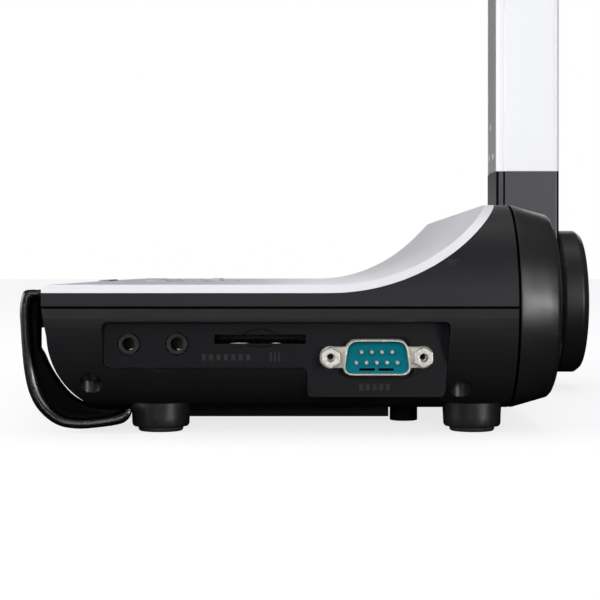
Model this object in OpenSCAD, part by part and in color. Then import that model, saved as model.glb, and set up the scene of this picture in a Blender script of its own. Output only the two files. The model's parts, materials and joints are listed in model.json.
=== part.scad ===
// Video magnifier (document camera): low base with ports and keys, pull-out carry
// handle, and a folding two-part arm that carries the camera head. Millimetres.
// +X is the rear of the base, +Y the user's left, +Z up, and the table is z = 0.

/* [Base] */
// Overall width of the base, side to side
base_width = 252; // [230:1:280]
// Radius of the rounded sides of the base
end_radius = 28.7; // [27:0.1:30]
// Height of the axis of the rounded sides
end_axis_z = 34.7; // [33:0.1:36]
// Wall thickness of the black cases
wall = 2.4; // [1.8:0.1:3]
// X of the flat front of the upper case and cover
front_x = -69.2; // [-72:0.1:-66]
// X where the rear cap begins
cap_x = 59.2; // [58:0.1:61]
// X of the rear face of the rear cap
rear_x = 71.2; // [70.8:0.1:72]
// Radius of the lower front of the base, seen from the side
nose_radius = 25.5; // [24.5:0.1:26]
// Height of the parting line between the two black cases
parting_z = 34.55; // [34:0.05:35]
// Width of the dark seams between the case parts
seam_w = 0.7; // [0.5:0.1:0.9]
// Depth of the seams
seam_d = 1; // [0.6:0.1:1.2]

/* [Top cover] */
// Height of the lower edge of the white cover
cover_low = 38.8; // [38:0.1:40]
// Thickness of the white cover
cover_t = 2.25; // [1.8:0.05:3]
// X where the cover starts to sweep up to the ridge
sweep_x = 8; // [4:1:12]
// Radius of the sweep, at the lower edge of the cover
sweep_radius = 57; // [55:0.5:59]

/* [Ports] */
// Y of the outer face of the port panel
panel_y = -121.5; // [-122:0.1:-120]
// Radius of the hole in a 3.5 mm audio jack
jack_bore = 1.78; // [1.75:0.01:1.85]
// Width of the memory card opening
card_w = 24.6; // [24.2:0.1:25]
// Height of the memory card opening
card_h = 2.5; // [2.3:0.1:2.8]
// Distance between the two hex posts of the nine-pin connector
post_pitch = 24.99; // [24.9:0.01:25.1]

/* [Feet] */
// Distance of the feet from the middle, across the base
foot_y = 104; // [100:1:106]
// Radius of a rubber foot pad
pad_r = 6.3; // [5:0.1:7]
// Height of a rubber foot pad that shows
pad_h = 1.4; // [1:0.1:2]

/* [Handle] */
// Half of the handle's width, side to side
handle_half = 113.4; // [110:0.1:115]
// Thickness of a handle side plate
handle_t = 3.6; // [3:0.1:4]

/* [Keys] */
// Gap around a key in the cover
key_gap = 0.3; // [0.2:0.05:0.5]

/* [Arm] */
// Y of the arm and of its swing axis
arm_y = 60; // [50:1:70]
// Height of the swing axis
swing_z = 32.8; // [31:0.1:34]
// Width of the arm, front to back
arm_d = 23.6; // [20:0.1:26]
// Width of the arm, side to side
arm_w = 29; // [26:0.1:30]
// Height of the top of the dark arm foot
sleeve_z = 81.7; // [75:0.1:90]
// Height of the elbow axis
elbow_z = 262; // [240:1:300]
// Reach from the elbow axis to the tilt axis
reach = 187; // [150:1:200]
// Radius of the hub disc behind the arm
disc_r = 27; // [24:0.5:28]
// Radius of the swing shaft
shaft_r = 6; // [5:0.1:7]

/* [Camera head] */
// Length of the camera head
head_l = 60; // [50:1:66]
// Width of the camera head
head_w = 52; // [44:1:54]
// Radius of the lens barrel
barrel_r = 13; // [11:0.1:14]

/* [Hidden] */
$fn = 96;
end_y = base_width/2 - end_radius;
nose_x = -42.4;
nose_z = 27;
// how far the front leans out per millimetre of height above the nose
front_lean = 0.16;
sweep_z = cover_low + sweep_radius;
cover_top = cover_low + cover_t;
ridge_z = end_axis_z + end_radius;
arm_x0 = 73.4;
arm_x1 = arm_x0 + arm_d;
arm_xc = (arm_x0 + arm_x1)/2;
elbow_x = arm_xc;
tilt_x = elbow_x - reach;
disc_t = 9.5;
// height of the top of the column's tube
tube_top = elbow_z - 17;
// half the width and half the height of the blocks that plug into the reach tube
plug = [8.2, 8.5];
// x of the rear end of the swing shaft
shaft_x1 = 104.9;
// from the tilt axis to the rear of the camera head
head_gap = 13;
// moves the middle of the whole part's length to x = 0
shift_x = -(arm_x1 + disc_t + tilt_x - head_gap - head_l)/2;
black = [0.12, 0.12, 0.13];
black2 = [0.19, 0.19, 0.21];
white = [0.93, 0.93, 0.95];
grey = [0.55, 0.55, 0.58];
steel = [0.7, 0.7, 0.72];
// y and x that lie well outside the base, where cuts start
out_y = -130;
out_x = -75;
// x just past the rear edge of the two cases, where their inside ends
inside_x = 62;
// thickness of the port panels, and the y of their back
panel_t = 1.8;
panel_back = -118.9;
// y of the outer face of the board behind the ports
io_front = -110.05;
jack_x = [-46.2, -33.2];
jack_z = 25;
card_x = -10.8;
card_z = 26.3;
// height of the card slot's two springs above its floor
spring_h = 0.34;
dsub_x = 20.75;
dsub_z = 21.4;
// the ports on the far side: power inlet, 15-pin video socket and USB socket
far_z = 23.5;
inlet_x = -34;
vga_x = 0.2;
usb_x = -21.5;
foot_x = [-39, 48.2];
// height of the flat tops of the feet, under the curve of the belly
foot_top = 8.1;
// the four screw wells, and the height of the seats that the screw heads meet
well_xy = [[-57, 117], [44.3, 115]];
well_z = 17.4;
// bottom and top of the main board
board_z = [14, 15.6];
rail_y = 89;
// the posts that the main board is screwed to
post_x = [-50, 40];
post_y = [-78, 0, 78];
// length of the remote control window, front to back
ir_length = 5.2;
keys_low = [[-45, -24], [-45, 24], [-33, -24], [-33, 24]];
// bottom and top of the flange that keeps a key under the cover
flange_z = [37.4, 38.4];
// bottom and top of the key board, and where its four posts stand
key_board_z = [34.8, 36.2];
key_post_x = [-55.5, -18.5];
key_post_y = [-31.5, 31.5];
// length and width of the four low keys and of the power key
low_key = [6.5, 13];
power_key = [4, 10];
power_x = -28.2;
ok_x = -49.4;
ok_r = 4.4;
back_x = -41.8;
back_r = 1.95;
led_x = [-34.4, -21.6];
led_size = [2.2, 3.2];

function unit(v) = v / norm(v);
function corner(a, p, b, r, n) = let (s = p + r*unit(a - p), e = p + r*unit(b - p))
  [for (i = [0:n]) let (t = i/n) (1-t)*(1-t)*s + 2*t*(1-t)*p + t*t*e];
function rounded(pts, r, n=6) = let (m = len(pts))
  [for (i = [0:m-1]) each corner(pts[(i+m-1)%m], pts[i], pts[(i+1)%m], r, n)];
function rect(x0, x1, z0, z1) = [[x0, z0], [x1, z0], [x1, z1], [x0, z1]];
// a smooth line through the points
function cr(p0, p1, p2, p3, t) = 0.5*(2*p1 + (p2-p0)*t + (2*p0-5*p1+4*p2-p3)*t*t + (3*p1-p0-3*p2+p3)*t*t*t);
function smooth(p, n=4) = let (m = len(p)) [for (i = [0:m-2], k = [0:n-1])
  cr(p[max(i-1, 0)], p[i], p[i+1], p[min(i+2, m-1)], k/n), p[m-1]];

module along_x(x0, x1) {
  translate([x0, 0, 0]) rotate([90, 0, 90]) linear_extrude(height=x1-x0) children();
}
module along_y(y0, y1) {
  translate([0, y1, 0]) rotate([90, 0, 0]) linear_extrude(height=y1-y0) children();
}
module whole_width() { along_y(out_y, -out_y) children(); }
module along_z(z0, z1) { translate([0, 0, z0]) linear_extrude(height=z1-z0) children(); }
module cyl_x(x0, x1, r, y, z) { translate([x0, y, z]) rotate([0, 90, 0]) cylinder(h=x1-x0, r=r); }
module cyl_y(y0, y1, r, x, z) { translate([x, y0, z]) rotate([-90, 0, 0]) cylinder(h=y1-y0, r=r); }
module cyl_z(z0, z1, r, x, y) { translate([x, y, z0]) cylinder(h=z1-z0, r=r); }
module box(x0, x1, y0, y1, z0, z1) { translate([x0, y0, z0]) cube([x1-x0, y1-y0, z1-z0]); }
module placed() { translate([shift_x, 0, 0]) children(); }
module both() { children(); mirror([0, 1, 0]) children(); }

module stadium(x0, x1, r) {
  along_x(x0, x1) {
    translate([-end_y, end_axis_z - r]) square([2*end_y, 2*r]);
    for (s = [-1, 1]) translate([s*end_y, end_axis_z]) circle(r);
  }
}
// everything under a height, in the side view
module under(z) { translate([-80, -5]) square([160, z + 5]); }
// the base seen from the side, e inside its lower front
module side_low(e) {
  low_x = nose_x - nose_radius + e;
  top_z = 40;
  translate([nose_x, nose_z]) circle(nose_radius - e);
  translate([nose_x, -5]) square([120, top_z + 5]);
  polygon([
    [nose_x + 1, nose_z], [low_x, nose_z],
    [low_x - front_lean*(top_z - nose_z), top_z], [nose_x + 1, top_z]]);
}
// everything under a line that runs flat and then sweeps up, t above the cover's lower edge
module under_sweep(x0, x1, t) {
  translate([x0, 20]) square([sweep_x - x0, cover_low + t - 20]);
  difference() {
    translate([sweep_x, 20]) square([x1 - sweep_x, 60]);
    translate([sweep_x, sweep_z]) circle(sweep_radius - t, $fn=180);
  }
}

// ---- the port panel's L outline, e outside its own edge
function l_pts(e) = [
  [-53-e, 18.6-e], [2-e, 18.6-e], [2-e, 10.7-e], [39.1+e, 10.7-e], [40.4+e, 31+e], [-53-e, 31+e]];
// the lower leg of the L, where the panel stands deeper
function pad_pts(e) = [[2-e, 10.7-e], [39.1+e, 10.7-e], [39.7+e, 20], [2-e, 20]];

module lower_case() {
  placed() color(black)
  difference() {
    union() {
      difference() {
        union() {
          intersection() {
            union() {
              stadium(out_x, cap_x - seam_w, end_radius);
              stadium(cap_x - seam_w, cap_x, end_radius - seam_d);
            }
            whole_width() intersection() {
              side_low(0);
              under(parting_z);
            }
          }
          both() for (x = foot_x) translate([x, foot_y, pad_h]) {
            cylinder(h=0.6, r1=7.6, r2=8);
            translate([0, 0, 0.6]) cylinder(h=foot_top - pad_h - 0.6, r1=8, r2=8.3);
          }
        }
        intersection() {
          stadium(out_x, inside_x, end_radius - wall);
          whole_width() intersection() {
            side_low(wall);
            under(55);
          }
        }
      }
      intersection() {
        union() {
          both() for (p = well_xy) cyl_z(6, parting_z, 4.2, p[0], p[1]);
          for (x = post_x, y = post_y) cyl_z(7, 14, 3, x, y);
          along_y(-127, -116.6) polygon(rounded(l_pts(1.7), 3));
          mirror([0, 1, 0]) along_y(-127, -116.6) polygon(rounded(rect(-43.7, 33.7, 14.3, 32.7), 3));
        }
        stadium(out_x, cap_x - seam_w, end_radius - 0.05);
        whole_width() intersection() {
          side_low(0.05);
          under(parting_z);
        }
      }
    }
    both() for (p = well_xy) {
      cyl_z(0, well_z, 3, p[0], p[1]);
      cyl_z(0, 40, 1.6, p[0], p[1]);
    }
    both() for (x = foot_x) cyl_z(0, 3.2, pad_r + 0.05, x, foot_y);
    for (x = post_x, y = post_y) cyl_z(9, 15, 1.2, x, y);
    // openings for the two port panels
    along_y(out_y, -118.7) polygon(rounded(l_pts(0.12), 2));
    along_y(out_y, -109.8) polygon(rounded(pad_pts(0.12), 1.5));
    box(-51.4, 38.8, -119, -112, 19, 29.6);
    mirror([0, 1, 0]) along_y(out_y, -112) polygon(rounded(rect(-42.12, 32.12, 15.88, 31.12), 2));
    // air slots in the floor
    for (x = [-20:6:22], s = [-1, 1]) box(x, x + 2, s*30 - 20, s*30 + 20, 4, 10);
  }
}

module upper_case() {
  placed() color(black2)
  difference() {
    union() {
      difference() {
        intersection() {
          union() {
            stadium(front_x - 1, cap_x - seam_w, end_radius);
            stadium(cap_x - seam_w, cap_x, end_radius - seam_d);
          }
          whole_width() difference() {
            under_sweep(front_x, cap_x, 0);
            under(parting_z + seam_w);
          }
        }
        intersection() {
          stadium(front_x - 1, inside_x, end_radius - wall);
          whole_width() under_sweep(front_x + wall, inside_x, -1.8);
        }
      }
      // the step that shows as the dark parting line
      difference() {
        intersection() {
          stadium(front_x - 1, cap_x, end_radius - seam_d);
          whole_width() translate([front_x + seam_d, parting_z])
            square([cap_x - front_x - seam_d, seam_w + 0.1]);
        }
        intersection() {
          stadium(front_x - 1, inside_x, end_radius - wall);
          whole_width() translate([front_x + wall, parting_z - 1]) square([140, 3]);
        }
      }
      intersection() {
        both() for (p = well_xy) cyl_z(parting_z, 60, 4, p[0], p[1]);
        stadium(front_x, cap_x, end_radius - seam_d);
        whole_width() under_sweep(front_x, cap_x, -0.6);
      }
    }
    both() for (p = well_xy) cyl_z(30, 37.6, 1.55, p[0], p[1]);
    box(-60, -14, -36, 36, 30, 40);
  }
}

module key_round(x, y, r, top) {
  cyl_z(flange_z[1], top - 0.5, r, x, y);
  translate([x, y, top - 0.5]) cylinder(h=0.5, r1=r, r2=r - 0.9);
  cyl_z(flange_z[0], flange_z[1], r + 0.45, x, y);
}
// an oval, size[0] long and size[1] wide, e outside its own edge
module oval(x, y, size, e) {
  straight = size[1] - size[0];
  translate([x, y]) {
    translate([-size[0]/2 - e, -straight/2]) square([size[0] + 2*e, straight]);
    for (s = [-1, 1]) translate([0, s*straight/2]) circle(size[0]/2 + e);
  }
}
module key_oval(x, y, size, top) {
  along_z(flange_z[1], top - 0.3) oval(x, y, size, 0);
  along_z(top - 0.3, top) oval(x, y, size, -0.3);
  along_z(flange_z[0], flange_z[1]) oval(x, y, size, 0.8);
}

module top_cover() {
  placed() color(white)
  difference() {
    intersection() {
      stadium(front_x - 1, cap_x, end_radius);
      whole_width() difference() {
        under_sweep(front_x, 56, cover_t);
        under_sweep(front_x - 1, 57, 0);
        polygon([
          [front_x - 1, cover_top + 1], [front_x - 1, cover_top - 1.05], [front_x, cover_top - 1.05],
          [front_x + 2.4, cover_top], [front_x + 2.4, cover_top + 1]]);
      }
    }
    cyl_z(30, 50, ok_r + key_gap, ok_x, 0);
    cyl_z(30, 50, back_r + key_gap, back_x, 0);
    along_z(30, 50) oval(power_x, 0, power_key, key_gap);
    for (p = keys_low) along_z(30, 50) oval(p[0], p[1], low_key, key_gap);
    for (x = led_x) along_z(30, 50) oval(x, 0, led_size, 0.02);
    box(front_x - 1, front_x + ir_length + 0.1, -12, 12, 38, 45);
  }
}

module ir_window() {
  placed() color([0.1, 0.02, 0.03])
  along_y(-11.9, 11.9) polygon([
    [front_x + 0.1, cover_low], [front_x + ir_length, cover_low],
    [front_x + ir_length, cover_top + 0.15], [front_x + ir_length - 0.7, cover_top + 0.5],
    [front_x + 2, cover_top + 0.4], [front_x + 0.6, cover_top - 0.2], [front_x + 0.1, cover_top - 1]]);
}

module led_windows() {
  placed() color([0.25, 0.27, 0.3])
  for (x = led_x) along_z(key_board_z[1], cover_top + 0.06) oval(x, 0, led_size, -0.02);
}

module key_low(i) {
  placed() color(grey) key_oval(keys_low[i][0], keys_low[i][1], low_key, cover_top + 0.25);
}

module key_ok() { placed() color(grey) key_round(ok_x, 0, ok_r, cover_top + 0.85); }
module key_back() { placed() color(grey) key_round(back_x, 0, back_r, cover_top + 0.45); }
module key_power() { placed() color(grey) key_oval(power_x, 0, power_key, cover_top + 0.95); }
module key_menu() { key_low(0); }
module key_source() { key_low(1); }
module key_freeze() { key_low(2); }
module key_light() { key_low(3); }

module key_board() {
  placed() color([0.1, 0.3, 0.16]) {
    difference() {
      box(-58, -16, -34, 34, key_board_z[0], key_board_z[1]);
      for (x = key_post_x, y = key_post_y) cyl_z(30, 40, 1.3, x, y);
    }
    for (p = concat(keys_low, [[ok_x, 0], [power_x, 0]])) {
      box(p[0] - 2, p[0] + 2, p[1] - 2, p[1] + 2, key_board_z[1], 36.6);
      cyl_z(36.6, 36.82, 1.1, p[0], p[1]);
    }
    box(back_x - 1.1, back_x + 1.1, -1.1, 1.1, key_board_z[1], 36.82);
    for (y = key_post_y, x = key_post_x) translate([x, y, 0]) difference() {
      cyl_z(key_board_z[1], cover_low, 2.4, 0, 0);
      cyl_z(36, 40, 1.3, 0, 0);
    }
  }
}

// pts is half a section, [x, distance from the axis], swept round both rounded ends, y from the middle
module cap_part(pts, y) {
  translate([0, 0, end_axis_z]) {
    for (s = [-1, 1]) translate([0, s*y, 0]) rotate([0, 90, 0]) rotate_extrude()
      polygon([for (p = pts) [p[1], p[0]]]);
    rotate([90, 0, 0]) linear_extrude(height=2*y, center=true) polygon(concat(
      [for (p = pts) [p[0], p[1]]],
      [for (i = [len(pts)-1:-1:0]) if (pts[i][1] > 0) [pts[i][0], -pts[i][1]]]));
  }
}

module rear_cap() {
  placed() color(black)
  difference() {
    union() {
      difference() {
        cap_part([
          [cap_x, 0], [cap_x, end_radius], [60, end_radius - 0.1], [rear_x - 1.8, 25.9],
          [rear_x - 1, 25.1], [rear_x - 0.4, 23.7], [rear_x - 0.1, 22], [rear_x, 20], [rear_x, 0]], end_y);
        cap_part([
          [cap_x - 1, 0], [cap_x - 1, end_radius - wall], [rear_x - wall - 1, 23],
          [rear_x - wall, 19.5], [rear_x - wall, 0]], end_y);
      }
      cyl_x(66, rear_x - 2, 13, arm_y, swing_z);
    }
    cyl_x(50, 80, 9.02, arm_y, swing_z);
    cyl_x(60, 66.9, 12.05, arm_y, swing_z);
    // cooling slots low on the back
    for (y = [-90:6:18]) box(69, 80, y, y + 2.2, 20, 30);
  }
}

// a shallow arc cut beside the card opening, above it (side 1) or below it (side -1)
module finger_notch(side, depth) {
  half = 5.2;
  r = (half*half + depth*depth)/(2*depth);
  lip_z = card_z + side*(card_h/2 - 0.1);
  centre_z = lip_z + side*(depth - r);
  intersection() {
    union() {
      cyl_y(-124, panel_y + 0.7, r, card_x, centre_z);
      difference() {
        cyl_y(-124, panel_y + 1.4, r, card_x, centre_z);
        cyl_y(-125, panel_y + 2, r - 0.35, card_x, centre_z);
      }
    }
    box(card_x - half, card_x + half, -124, -118, min(lip_z, lip_z + side*3), max(lip_z, lip_z + side*3));
  }
}

module port_panel() {
  placed() color(black2)
  difference() {
    union() {
      along_y(panel_y, panel_back) polygon(rounded(l_pts(0), 2));
      along_y(panel_y, -110) polygon(rounded(pad_pts(0), 1.5));
    }
    difference() {
      along_y(panel_y + panel_t, -118) polygon(rounded(l_pts(-1.5), 1.5));
      for (x = jack_x) cyl_y(-122, -118, 4.4, x, jack_z);
    }
    along_y(panel_y + panel_t, -105) polygon(rounded(pad_pts(-1.6), 1.2));
    box(3.6, 37.5, panel_y + panel_t, -105, 17, 22);
    for (x = jack_x) cyl_y(out_y, -110, 3.1, x, jack_z);
    box(card_x - card_w/2, card_x + card_w/2, out_y, -110, card_z - card_h/2, card_z + card_h/2);
    finger_notch(1, 1.8);
    finger_notch(-1, 1.1);
    // the stepped opening round the nine-pin connector and its two posts
    translate([dsub_x, 0, dsub_z]) {
      along_y(out_y, -118) polygon(rounded(d_pts(0.55), 3));
      along_y(out_y, panel_y + 1.1) polygon(rounded(d_pts(1.35), 3.4));
      along_y(out_y, -118) translate([-post_pitch/2, -2.9]) square([post_pitch, 5.8]);
      for (s = [-1, 1]) cyl_y(out_y, -118, 3.05, s*post_pitch/2, 0);
    }
  }
}

// the nine-pin connector's D outline, e outside the inside of its shell
function d_pts(e) = [[-8.95-e, -4.36-e], [8.95+e, -4.36-e], [7.65+e, 4.36+e], [-7.65-e, 4.36+e]];

module dsub_shell() {
  placed() color(steel)
  translate([dsub_x, 0, dsub_z]) difference() {
    union() {
      along_y(-119.4, -118.5) polygon(rounded(rect(-15.4, 15.4, -6.2, 6.2), 1.2));
      along_y(-123.6, -118.5) polygon(rounded(d_pts(0.36), 2.9));
      along_y(-118.5, io_front) polygon(rounded(rect(-10.1, 10.1, -5.4, 5.4), 1.5));
    }
    along_y(-124, -109) polygon(rounded(d_pts(0), 2.6));
    for (s = [-1, 1]) cyl_y(-125, -110, 1.45, s*post_pitch/2, 0);
  }
}

pin_xz = concat([for (i = [-2:2]) [i*2.77, -1.42]], [for (i = [-1.5:1:1.5]) [i*2.77, 1.42]]);

module dsub_insert() {
  placed() color([0.1, 0.5, 0.55])
  translate([dsub_x, 0, dsub_z]) difference() {
    along_y(-119.6, -110.4) polygon(rounded(d_pts(-0.04), 2.56));
    for (p = pin_xz) cyl_y(-125, -100, 0.52, p[0], p[1]);
    for (s = [-1, 1]) box(s*2.6 - 2.1, s*2.6 + 2.1, -120, -118.8, -3.75, -3.05);
  }
}

module dsub_pins() {
  placed() color([0.83, 0.68, 0.35])
  translate([dsub_x, 0, dsub_z]) for (p = pin_xz) {
    cyl_y(-122.4, -109.9, 0.5, p[0], p[1]);
    translate([p[0], -122.4, p[1]]) rotate([90, 0, 0]) cylinder(h=0.35, r1=0.5, r2=0.25);
  }
}

module hex_post() { rotate([90, 0, 0]) cylinder(h=4.8, r=2.75, $fn=6); }

module jack_screws() {
  placed() color(steel)
  for (s = [-1, 1]) translate([dsub_x + s*post_pitch/2, 0, dsub_z]) difference() {
    union() {
      translate([0, -119.4, 0]) rotate([0, 30, 0]) hex_post();
      cyl_y(-119.5, -112, 1.4, 0, 0);
    }
    cyl_y(-125, -118.5, 1.15, 0, 0);
    cyl_y(-119, -111, 0.8, 0, 0);
  }
}

module audio_jacks() {
  placed() color(black)
  for (x = jack_x) difference() {
    union() {
      cyl_y(-121.9, -118.3, 2.78, x, jack_z);
      box(x - 4.6, x + 4.6, -118.6, io_front, jack_z - 4.3, jack_z + 4);
    }
    cyl_y(out_y, -110.9, jack_bore, x, jack_z);
    box(x - 0.6, x + 0.6, -117.4, -111.5, jack_z - 2.6, jack_z - 1);
    cyl_y(-122, -121.5, 2.4, x, jack_z);
  }
}

module jack_contacts() {
  placed() color([0.83, 0.68, 0.35])
  for (x = jack_x) {
    box(x - 0.55, x + 0.55, -117.35, -111.55, jack_z - 2.58, jack_z - 1.75);
    box(x - 0.55, x + 0.55, -115, -114, jack_z - 2, jack_z - 1.62);
  }
}

// a low bump on the floor of the card slot that presses the card up
module card_spring(x0, x1) {
  half = (x1 - x0)/2;
  r = 0.9;
  floor_z = card_z - card_h/2 - 0.06;
  translate([card_x + x0 + half, panel_y + panel_t + 1, floor_z + spring_h - r]) rotate([0, 90, 0])
    rotate_extrude() polygon([[0, -half], [r*0.8, -half*0.55], [r, 0], [r*0.8, half*0.55], [0, half]]);
}

module sd_socket() {
  placed() color(steel) {
    card_socket_shell();
    intersection() {
      for (span = [[-9.7, -1.6], [2.4, 6.2]]) card_spring(span[0], span[1]);
      box(-40, 20, -122, -110, card_z - card_h/2 - 0.3, card_z);
    }
  }
}
module card_socket_shell() {
  difference() {
    box(card_x - card_w/2 - 0.75, card_x + card_w/2 + 0.75, panel_y + panel_t + 0.05, -91,
      card_z - card_h/2 - 0.5, card_z + card_h/2 + 0.5);
    box(card_x - card_w/2 - 0.06, card_x + card_w/2 + 0.06, -122, -91.6,
      card_z - card_h/2 - 0.06, card_z + card_h/2 + 0.06);
    for (s = [-1, 1]) box(card_x + s*7 - 2.5, card_x + s*7 + 2.5, -112, -104, card_z + 1, card_z + 2);
  }
}

module sd_contacts() {
  placed() color([0.2, 0.2, 0.22])
  difference() {
    box(card_x - card_w/2 + 0.05, card_x + card_w/2 - 0.05, -95, -91.65,
      card_z - card_h/2 + 0.02, card_z + card_h/2 - 0.02);
    for (x = [-10:2.5:10]) translate([card_x + x, 0, card_z]) box(-0.7, 0.7, -95.5, -92.6, -0.2, 0.6);
  }
}

module io_board() {
  placed() color([0.1, 0.3, 0.16])
  difference() {
    box(-52, 37, -110, -108.4, 14, 32);
    box(card_x - card_w/2 - 0.8, card_x + card_w/2 + 0.8, -112, -107,
      card_z - card_h/2 - 0.55, card_z + card_h/2 + 0.55);
    for (p = pin_xz) cyl_y(-112, -107, 0.55, dsub_x + p[0], dsub_z + p[1]);
  }
}

module main_board() {
  placed() color([0.1, 0.3, 0.16])
  difference() {
    box(-56, 48, -108.3, 111, board_z[0], board_z[1]);
    for (x = post_x, y = post_y) cyl_z(10, 18, 1.6, x, y);
    both() for (p = well_xy) cyl_z(10, 20, 6, p[0], p[1]);
  }
}

module board_chips() {
  placed() color([0.15, 0.15, 0.16]) {
    box(-20, 0, -30, -10, board_z[1], 18);
    box(12, 26, -34, -22, board_z[1], 17.2);
    box(12, 26, -16, -4, board_z[1], 17.2);
    box(-40, -28, -10, 2, board_z[1], 17.2);
    for (y = [20:12:56]) cyl_z(board_z[1], 23, 3.5, 30, y);
    box(-46, -34, 30, 62, board_z[1], 21);
    box(-10, 14, 40, 60, board_z[1], 24);
    box(30, 38, -92, -84, board_z[1], 20);
  }
}

module heat_sink() {
  placed() color([0.6, 0.6, 0.62])
  difference() {
    box(-22, 2, -32, -8, 18, 27);
    for (x = [-20:4:-2]) box(x, x + 2.4, -40, 0, 20, 28);
  }
}

module far_panel() {
  placed() color(black2)
  mirror([0, 1, 0]) difference() {
    along_y(panel_y, panel_back) polygon(rounded(rect(-42, 32, 16, 31), 2));
    along_y(-119.7, -118) polygon(rounded(rect(-40.4, 30.4, 17.6, 29.4), 1.5));
    cyl_y(out_y, -110, 4.2, inlet_x, far_z);
    along_y(out_y, -110) polygon(rounded(rect(-9.4, 9.8, 18.4, 29.2), 2.8));
    for (s = [-1, 1]) cyl_y(out_y, -110, 3.05, vga_x + s*post_pitch/2, far_z);
    box(usb_x - 3.7, usb_x + 3.7, out_y, -110, far_z - 2.6, far_z + 2.4);
  }
}

module power_inlet() {
  placed() color(black)
  mirror([0, 1, 0]) {
    difference() {
      union() {
        cyl_y(-121.7, -118, 4.1, inlet_x, far_z);
        box(inlet_x - 5, inlet_x + 5, -119.5, -106, 18.7, 28.4);
        box(inlet_x - 5, inlet_x + 5, -111.5, -106, board_z[1], 19);
      }
      cyl_y(out_y, -110, 2.85, inlet_x, far_z);
    }
    cyl_y(-120.5, -109.9, 1.02, inlet_x, far_z);
  }
}

module vga_socket() {
  placed() color(steel)
  mirror([0, 1, 0]) translate([vga_x, 0, far_z]) difference() {
    union() {
      along_y(-119.5, -118.7) polygon(rounded(rect(-15.4, 15.4, -5.6, 5.6), 1.2));
      along_y(-123.2, -118.7) polygon(rounded([for (p = d_pts(-0.1)) [p[0], -p[1]]], 2.6));
      along_y(-118.7, -106) polygon(rounded(rect(-9.6, 9.6, -5, 5), 1.5));
      box(-9, 9, -111.5, -106, -7.9, -4);
      for (s = [-1, 1]) translate([s*post_pitch/2, -119.5, 0]) hex_post();
    }
    for (r = [-1:1], i = [-2:2]) cyl_y(-125, -112, 0.55, i*2.29 + (r == 0 ? 1.1 : 0) - 0.3, r*1.98);
    for (s = [-1, 1]) cyl_y(out_y, -117, 1.15, s*post_pitch/2, 0);
  }
}

module usb_socket() {
  placed() color(steel)
  mirror([0, 1, 0]) difference() {
    union() {
      box(-25, -18, -121.6, -108, 21.1, 25.7);
      box(-24, -19, -111.5, -108, 15.6, 21.2);
    }
    difference() {
      box(-24.6, -18.4, -123, -108.6, 21.5, 25.3);
      box(-23.6, -19.4, -119.8, -108.6, 23, 24.2);
    }
  }
}

module foot_pads() {
  placed() color([0.16, 0.16, 0.16])
  both() for (x = foot_x) {
    translate([x, foot_y, 0]) cylinder(h=0.5, r1=pad_r - 0.4, r2=pad_r);
    cyl_z(0.5, 3.2, pad_r, x, foot_y);
  }
}

module case_screws() {
  placed() color(steel)
  both() for (p = well_xy) difference() {
    union() {
      cyl_z(15, well_z, 2.7, p[0], p[1]);
      cyl_z(well_z, 37.2, 1.5, p[0], p[1]);
    }
    for (a = [0, 90]) translate([p[0], p[1], 14.9]) rotate([0, 0, a]) box(-1.5, 1.5, -0.3, 0.3, 0, 1.4);
  }
}

module rail_guides() {
  placed() color(black)
  both() difference() {
    box(-38, 25.4, rail_y - 4.4, rail_y + 4.4, 2.9, 6);
    box(-40, 24.6, rail_y - 3, rail_y + 3, 3.6, 5.85);
    box(-40, 24.6, rail_y - 1.8, rail_y + 1.8, 2, 4);
  }
}

module rail_stops() {
  placed() color(black)
  both() difference() {
    cyl_z(1.5, 6, 4, 30, rail_y);
    cyl_z(1, 4.5, 1.5, 30, rail_y);
  }
}

// ---- carry handle
handle_out = smooth([
  [-71.5, 39.4], [-74.9, 39.5], [-76.3, 38.3], [-77, 34.3], [-76.8, 29.6], [-76.4, 23.3],
  [-75.8, 17.5], [-74.6, 11.8], [-72.5, 7.4], [-69.4, 4.1], [-65.9, 2.1], [-62, 1.4],
  [-57.8, 1.45], [-51.6, 2.2], [-48.4, 3], [-46.9, 4.6], [-46.5, 6.6]], 3);
handle_in = smooth([
  [-46.9, 7.2], [-52.5, 7.1], [-57.7, 7.7], [-61.6, 9.6], [-64.4, 12], [-67, 15.4],
  [-69, 18.7], [-70.4, 21.8], [-71.3, 23.2]], 3);
// the inside of the raised rim on a handle side plate
handle_rim = smooth([
  [-74, 37.4], [-74.6, 34.2], [-74.5, 29.6], [-74.1, 23.5], [-73.5, 18], [-72.4, 12.9],
  [-70.7, 9.2], [-68.2, 6.2], [-65.2, 4.4], [-61.9, 3.7], [-57.7, 3.75], [-52.3, 4.5],
  [-48.4, 5.8]], 3);

module handle_grip() {
  placed() color(black) {
    both() difference() {
      along_y(-handle_half, -handle_half + handle_t) polygon(concat(handle_out, handle_in, [[-71.5, 23.7]]));
      // the web inside the rim stands back
      along_y(-handle_half - 1, -handle_half + 0.9) polygon(concat(handle_rim, [[-40, 14], [-62, 37.4]]));
    }
    along_y(-handle_half + 2, handle_half - 2)
      polygon(rounded([[-71.5, 28.7], [-71.5, 39.3], [-76.4, 39.3], [-76.9, 34.3], [-76.4, 28.7]], 1.2));
    difference() {
      box(-64, -52, -handle_half + 2, handle_half - 2, 1.9, 5.3);
      both() box(-60, -50, rail_y - 2.85, rail_y + 2.85, 3.8, 6);
    }
  }
}

module handle_rails() {
  placed() color(steel)
  both() box(-59.95, 24.2, rail_y - 2.8, rail_y + 2.8, 3.85, 5.6);
}

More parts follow.
